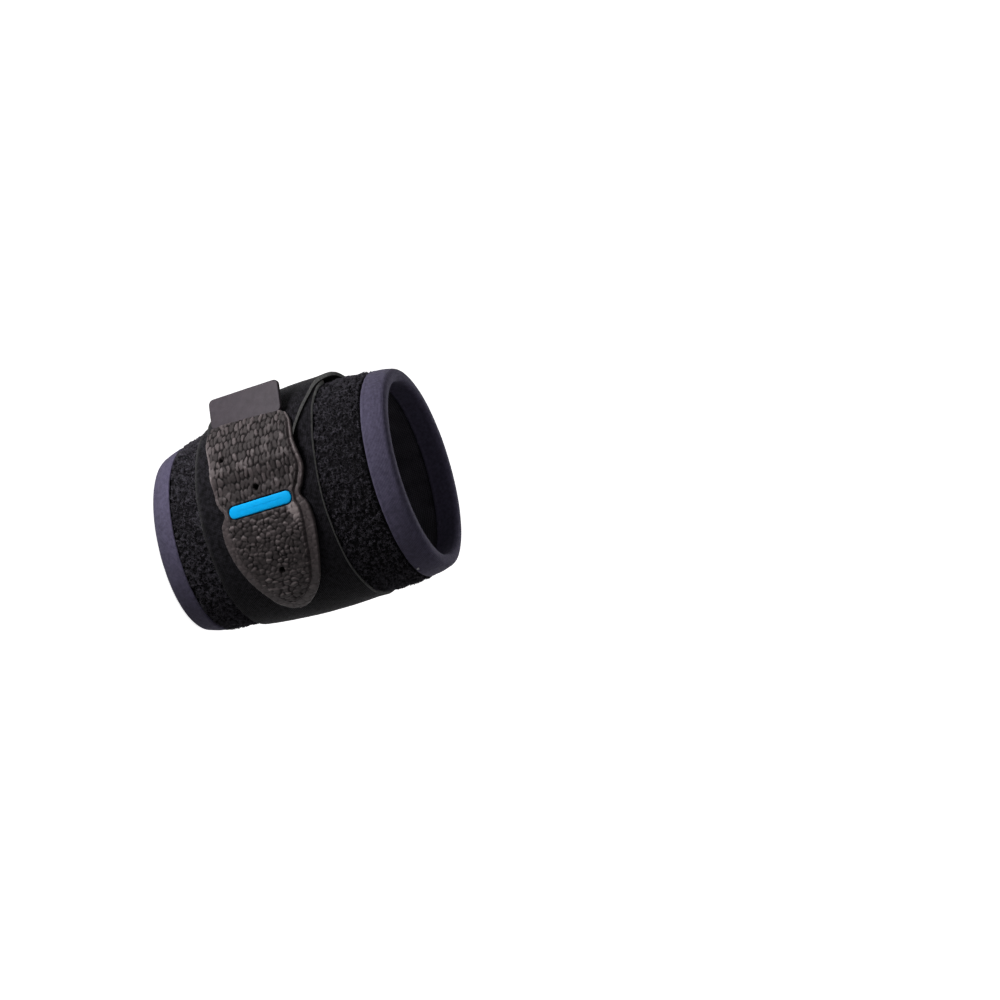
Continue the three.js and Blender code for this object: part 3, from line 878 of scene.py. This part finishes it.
def tongue_pebbles(turn, along, across):
    """The pebbles' height and paleness, which change from the tip to the upper end. The paleness holds
    painted highlights on the tops and uphill crests and painted shade in the pits.
    """
    flat = np.stack([along, across], -1)
    along = along + ripple(flat, "pebbles_along")
    across = across + ripple(flat, "pebbles_across")
    share = {"upper": ease(turn, ACCENT.turn - 1, ACCENT.turn + 1)}
    share["tip"] = 1 - ease(turn, *PEBBLE_TIP)
    share["middle"] = 1 - share["upper"] - share["tip"]
    filled = FILLED.most * ease(ripple(flat, "pebbles_filled"), FILLED.start, FILLED.end)
    least = DOME.least
    height = np.zeros(along.shape)
    paleness = np.zeros(along.shape)
    for name, pebbles in PEBBLES.items():
        dome, pit, up, own = pebble_field(along, across, pebbles)
        dome = dome + (1 - dome) * filled
        rise = dome * (least + (1 - least) * own) - PIT.depth * pit - 0.5
        height += share[name] * pebbles.rise * rise
        # Paler tops are painted highlights; how much paler varies at random from pebble to pebble.
        top = ease(dome, *DOME.top) * (pebbles.top + pebbles.vary * (own - 0.5))
        # Painted highlight on the uphill flank of each pebble, near its crest.
        worn = ease(up, *DOME.uphill) * ease(dome, *DOME.crest)
        crest = pebbles.crest * own * worn
        # Pebble paleness, less the painted shade in the pits.
        paleness += share[name] * (pebbles.pale + top + crest - PIT.dark * pit)
    return height, paleness


def distance_to(along, across, edge_along, edge_across):
    """How far each flat place lies from the nearest point of an edge."""
    rows = zip(along[:, :, None], across[:, :, None])
    return np.array([np.hypot(a - edge_along, b - edge_across).min(1) for a, b in rows])


def tongue_turn(turn, height):
    """The turn of a place on the tongue, whose upper end runs aslant."""
    end, low, high = TONGUE_ROWS[-1]
    lower = np.clip((high - height) / (high - low), 0, 1)
    return turn + SLANT.reach * lower * ease(turn, SLANT.start, end)


def tongue_underside(turn):
    layer = 1 + ease(turn, *TONGUE_STEP_UP)
    return GAP + layer * (WEBBING + GAP)


def bar_distance(turn, height, per_degree):
    """How far a place on the tongue lies outside the accent bar, below 0 inside it."""
    span, length = (half - ACCENT.round for half in ACCENT.half)
    aside = np.abs(turn - ACCENT.turn) * per_degree - span
    away = np.abs(height - ACCENT.height) - length
    outside = np.hypot(np.maximum(aside, 0), np.maximum(away, 0))
    return outside + np.minimum(np.maximum(aside, away), 0) - ACCENT.round


def edge_fall(away, radius):
    """How far a rounded edge falls at a distance from its outline."""
    return radius * (1 - np.sqrt(1 - (1 - np.minimum(away / radius, 1)) ** 2))


def edge_highlight(turn, away, highlight):
    """How much paler the tongue's upper part is painted along one of its edges, a painted highlight where
    the edge catches the light.
    """
    upper = ease(turn, highlight.start, highlight.end)
    return highlight.worn * upper * (1 - ease(away, 0, highlight.reach))


def make_tongue(material):
    """The moulded tongue: a flat rim, a groove inside it and a raised, pebbled middle."""
    first, last = TONGUE_ROWS[0][0], TONGUE_ROWS[-1][0]
    share = np.linspace(0, 1, TONGUE_MESH.stations)
    crowded = share - TONGUE_MESH.crowding * np.sin(math.tau * share) / math.tau
    stations = first + (last - first) * crowded
    low, high = (edge[:, None] for edge in tongue_edges(stations))
    columns = TONGUE_MESH.face
    across = np.concatenate([np.linspace(0, 1, columns), np.linspace(1, 0, TONGUE_MESH.back)])
    heights = low + (high - low) * across
    turns = tongue_turn(stations[:, None], heights)
    turn, height = turns[:, :columns], heights[:, :columns]
    fine_turns = np.linspace(first, last + SLANT.reach, TONGUE_MESH.fine)
    fine_along = arc_lengths(fine_turns, ACCENT.height, TONGUE.raised)
    along = np.interp(turn, fine_turns, fine_along)
    per_degree = np.interp(ACCENT.turn, fine_turns, np.gradient(fine_along, fine_turns))

    low_away = distance_to(along, height, along[:, 0], height[:, 0])
    high_away = distance_to(along, height, along[:, -1], height[:, -1])
    rim_low, rim_high = rim_widths(turn)
    inner = np.minimum(low_away - rim_low, high_away - rim_high)
    inside = ease(inner, 0.0, GROOVE.wall)
    groove = ease(inner, GROOVE.start, 0.0) * (1 - ease(inner, 0.0, GROOVE.end))
    pebbles, paleness = tongue_pebbles(turn, along, height)
    relief = pebbles + ripple(np.stack([along, height], -1), "tongue")
    high_side = ease(low_away - high_away, -1, 1)
    shoulder = np.exp(-(((turn - SHOULDER.turn) / SHOULDER.spread) ** 2)) * high_side
    shoulder = shoulder * inside * (1 - ease(inner, SHOULDER.reach / 2, SHOULDER.reach))
    relief = relief * (1 - SHOULDER.smooth * shoulder)
    round_off = edge_fall(np.minimum(low_away, high_away), TONGUE.edge)
    round_off = round_off + edge_fall(along[-1] - along, TONGUE.end_round)
    rise = TONGUE.rim + (TONGUE.raised - TONGUE.rim) * inside
    rise = rise + relief * (RIM_PEBBLES + (1 - RIM_PEBBLES) * inside)
    rise = rise - GROOVE.depth * groove - round_off + SHOULDER.rise * shoulder

    bar = bar_distance(turn, height, per_degree)
    plain = ease(bar, *ACCENT_SEAT.plain)
    rise = TONGUE.raised * (1 - plain) + rise * plain
    beside_bar = ease(bar, *ACCENT_SEAT.groove)
    rise = (TONGUE.raised - ACCENT.depth - GAP) * (1 - beside_bar) + rise * beside_bar
    solid = np.ones(turn.shape)
    for hole_turn, hole_height, radius in TONGUE_HOLES:
        away = np.hypot((turn - hole_turn) * per_degree, height - hole_height)
        solid = solid * ease(away, radius - HOLE.edge, radius + HOLE.edge)
    lifts = tongue_underside(turns)
    lifts[:, :columns] += HOLE.floor * (1 - solid) + rise * solid

    rim_tint = TONGUE_TINT.rim + RIM_PEBBLES * (paleness - TONGUE_TINT.rim_middle)
    # Painted shade in the groove inside the rim.
    rim_tint = rim_tint - GROOVE.dark * groove
    # Painted highlights along the upper edges.
    worn = edge_highlight(turn, low_away, LOW_EDGE_HIGHLIGHT) + edge_highlight(turn, high_away, HIGH_EDGE_HIGHLIGHT)
    # Painted highlight on the shoulder.
    worn = worn + SHOULDER.worn * shoulder
    tint = np.full(turns.shape, TONGUE_TINT.back)
    face_tint = paleness * inside + rim_tint * (1 - inside) + worn
    # Holes get the darkest tint, painted shade in them.
    tint[:, :columns] = np.clip(face_tint * solid, 0, 1)
    points = tube_point(turns, heights, lifts)
    weave_along = np.interp(stations, fine_turns, fine_along)[:, None]
    return skin("tongue_mould", points, [material], weave_along, heights, values={"relief": tint})


def make_tab(material):
    """The bare tab: a thin plate that leans outwards from the tongue's slanted end."""
    end = TONGUE_ROWS[-1][0]
    heights = np.array([TAB.low, (TAB.low + TAB.high) / 2, TAB.high])
    turns = tongue_turn(end, heights)
    root, _, head = tube_point(turns, heights, TAB.lift)
    up = Vector(head - root).normalized()
    aside, _ = tube_axes(turns[1], heights[1])
    lean = Vector(-aside)
    lean.rotate(Matrix.Rotation(math.radians(TAB.tilt), 3, "Z"))
    along = (lean - up * lean.dot(up)).normalized()
    axes = np.array([up, along, up.cross(along)])
    half = TAB.thickness / 2

    def place(flat, lift):
        local = np.concatenate([flat, (lift + ripple(flat, "tab"))[..., None]], -1)
        return root + local @ axes

    def relief(flat, lift):
        edge = 1 - ease(half - np.abs(lift), 0, TAB_EDGE.pale)
        return {"relief": TAB_TINT.face + TAB_TINT.edge * edge}

    insets, bend = TAB_EDGE.insets, TAB_EDGE.bend
    scales = np.linspace(*TAB_EDGE.scales)
    corner = np.linspace(0, math.pi / 2, TAB_EDGE.steps)
    back = [(insets[-1], scale, -half) for scale in scales[::-1]]
    back += [(insets[-1], 1, -half), (insets[0], 1, -half)]
    lower = [(bend * (1 - math.sin(a)), 1, -half + bend * (1 - math.cos(a))) for a in corner]
    upper = [(bend * (1 - math.cos(a)), 1, half - bend * (1 - math.sin(a))) for a in corner]
    front = [(inset, 1, half) for inset in insets]
    front += [(insets[-1], scale, half) for scale in scales]
    rings = back + lower + upper + front
    outline = (TAB_CORNERS, TAB.corner, *TAB_STEPS)
    return plate_mesh("label_tab_plate", outline, rings, place, [material], relief)


def make_accent(material):
    """The blue bar in the tongue's waist, with softly rounded edges."""
    turns = ACCENT.turn + np.linspace(*ACCENT_TURNS)
    along = arc_lengths(turns, ACCENT.height, TONGUE.raised)
    along = along - np.interp(ACCENT.turn, turns, along)
    base = tongue_underside(ACCENT.turn) + TONGUE.raised

    def place(flat, lift):
        turn = np.interp(-flat[..., 0], along, turns)
        return tube_point(turn, ACCENT.height + flat[..., 1], base + lift)

    rings = [(inset, scale, -ACCENT.depth) for inset, scale in ACCENT_BACK]
    rings += [(inset, 1, ACCENT.proud + rise) for inset, rise in ACCENT_TOP]
    outline = (SQUARE * ACCENT.half, ACCENT.round, *ACCENT_STEPS)
    return plate_mesh("accent_inlay", outline, rings, place, [material])


def make_knot(material):
    """A pale thread end, knotted on the distal binding."""
    sides, count = KNOT.sides, KNOT.stations
    t = np.arange(count) * math.tau / count
    path = np.stack(
        [np.sin(t) + 2 * np.sin(2 * t), np.cos(t) - 2 * np.cos(2 * t), -np.sin(3 * t)], 1
    )
    path *= KNOT.size / 3
    forward = np.roll(path, -1, 0) - np.roll(path, 1, 0)
    local = thread_rings(path, forward, path + UP, KNOT.thread, sides)
    aside, out = tube_axes(KNOT.turn, KNOT.height)
    points = tube_point(KNOT.turn, KNOT.height, KNOT.lift) + local @ np.array([aside, UP, out])
    along = np.linspace(0, 1, count + 1)[:, None]
    return skin("thread_knot", points, [material], along, np.linspace(0, 1, sides + 1), True)


def make_floor():
    points = [(x, y, -FLOOR.drop) for x, y in SQUARE * FLOOR.half]
    floor = mesh_object("floor", points, [[0, 1, 2, 3]], [floor_material()])
    floor.visible_diffuse = False


def make_camera():
    camera = add_object("camera", bpy.data.cameras.new("camera"))
    right, up = Vector(CAMERA.right), Vector(CAMERA.up)
    turned = Matrix([right, up, right.cross(up)]).transposed()
    camera.matrix_world = Matrix.Translation(Vector(CAMERA.place) * MM) @ turned.to_4x4()
    camera.data.lens = CAMERA.lens
    camera.data.sensor_width = CAMERA.sensor
    camera.data.clip_end = CAMERA.sight
    bpy.context.scene.camera = camera


def aimed(name, kind, place, target):
    """A light that shines from a place, in millimetres, towards a target."""
    light = add_object(name, bpy.data.lights.new(name, kind))
    light.location = Vector(place) * MM
    light.rotation_mode = "QUATERNION"
    light.rotation_quaternion = (Vector(place) - Vector(target)).to_track_quat("Z", "Y")
    light.visible_camera = False
    return light


def direction(turn, elevation):
    """The way out from the tube's axis at a turn and an elevation in degrees."""
    turn, elevation = math.radians(turn), math.radians(elevation)
    outward = math.cos(elevation)
    return Vector((-math.sin(turn) * outward, -math.cos(turn) * outward, math.sin(elevation)))


def make_light():
    """A soft key close to the tongue's upper side, soft lights from above and behind, and a pale sky."""
    middle = Vector((0, 0, BAND_WIDTH / 2))
    place = direction(KEY.turn, 0) * KEY.away + Vector((0, 0, KEY.height))
    key = aimed("key", "AREA", place, middle)
    key.data.size = KEY.size * MM
    key.data.energy = KEY.power
    for name, far in FAR_LIGHTS.items():
        towards = direction(far.turn, far.elevation)
        light = aimed(name, "SUN", towards * BAND_WIDTH, (0, 0, 0))
        light.data.energy = far.strength
        light.data.angle = math.radians(far.softness)
    world = bpy.data.worlds.new("sky")
    world.use_nodes = True
    background = world.node_tree.nodes["Background"]
    background.inputs["Color"].default_value = (1, 1, 1, 1)
    background.inputs["Strength"].default_value = SKY_STRENGTH
    bpy.context.scene.world = world
    bpy.context.scene.view_settings.view_transform = "Standard"


def place_piece(piece, slot, *nodes):
    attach(piece, "root")
    if nodes:
        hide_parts(*nodes)
    return piece


make_camera()
make_light()
make_floor()

band = place_piece(make_band(), "loop_pile", "band")
pile = pile_material()
piles = [place_piece(make_pile(side, seed, pile), "loop_pile") for side, seed in PILE_SEEDS.items()]
cloth = binding_material()
bindings = {
    name: place_piece(make_binding(name, rim, cloth), "binding_cloth", "binding_" + name)
    for name, rim in RIMS.items()
}
strap = place_piece(make_strap(strap_material()), "strap_cloth", "strap")
# The tongue's tints: the dark one is painted shade, the pale and brightest ones painted highlights.
mould = moulded_material(
    "moulded_tongue", 0.15,
    (0.004, 0.003, 0.0032), (0.027, 0.0214, 0.0222), (0.086, 0.07, 0.072), (0.195, 0.165, 0.164),
)
place_piece(make_tongue(mould), "moulded_tongue", "tongue")
plain = moulded_material(
    "plain_tab", 0.08,
    (0.016, 0.0128, 0.0158), (0.0265, 0.0218, 0.0265), (0.036, 0.0298, 0.036), (0.055, 0.047, 0.055),
)
place_piece(make_tab(plain), "plain_tab", "label_tab")
place_piece(make_accent(accent_material()), "blue_inlay", "accent_bar")
place_piece(make_knot(thread_material()), "binding_cloth")


def outline_length(height):
    return arc_lengths(np.linspace(0, 360, 361), height)[-1]


def strap_flat():
    """The strap's greatest width, its length and its area when it is laid flat."""
    along = arc_lengths(strap_turns, BAND_WIDTH / 2, GAP)
    low, high = strap_edges(strap_turns)
    width = high - low
    area = np.sum((width[1:] + width[:-1]) / 2 * np.diff(along))
    return width.max(), along[-1], area


outline_length(BAND_WIDTH / 2) * MM
for name, rim in RIMS.items():
    outline_length(rim) * MM
strap_width, strap_length, strap_area = strap_flat()
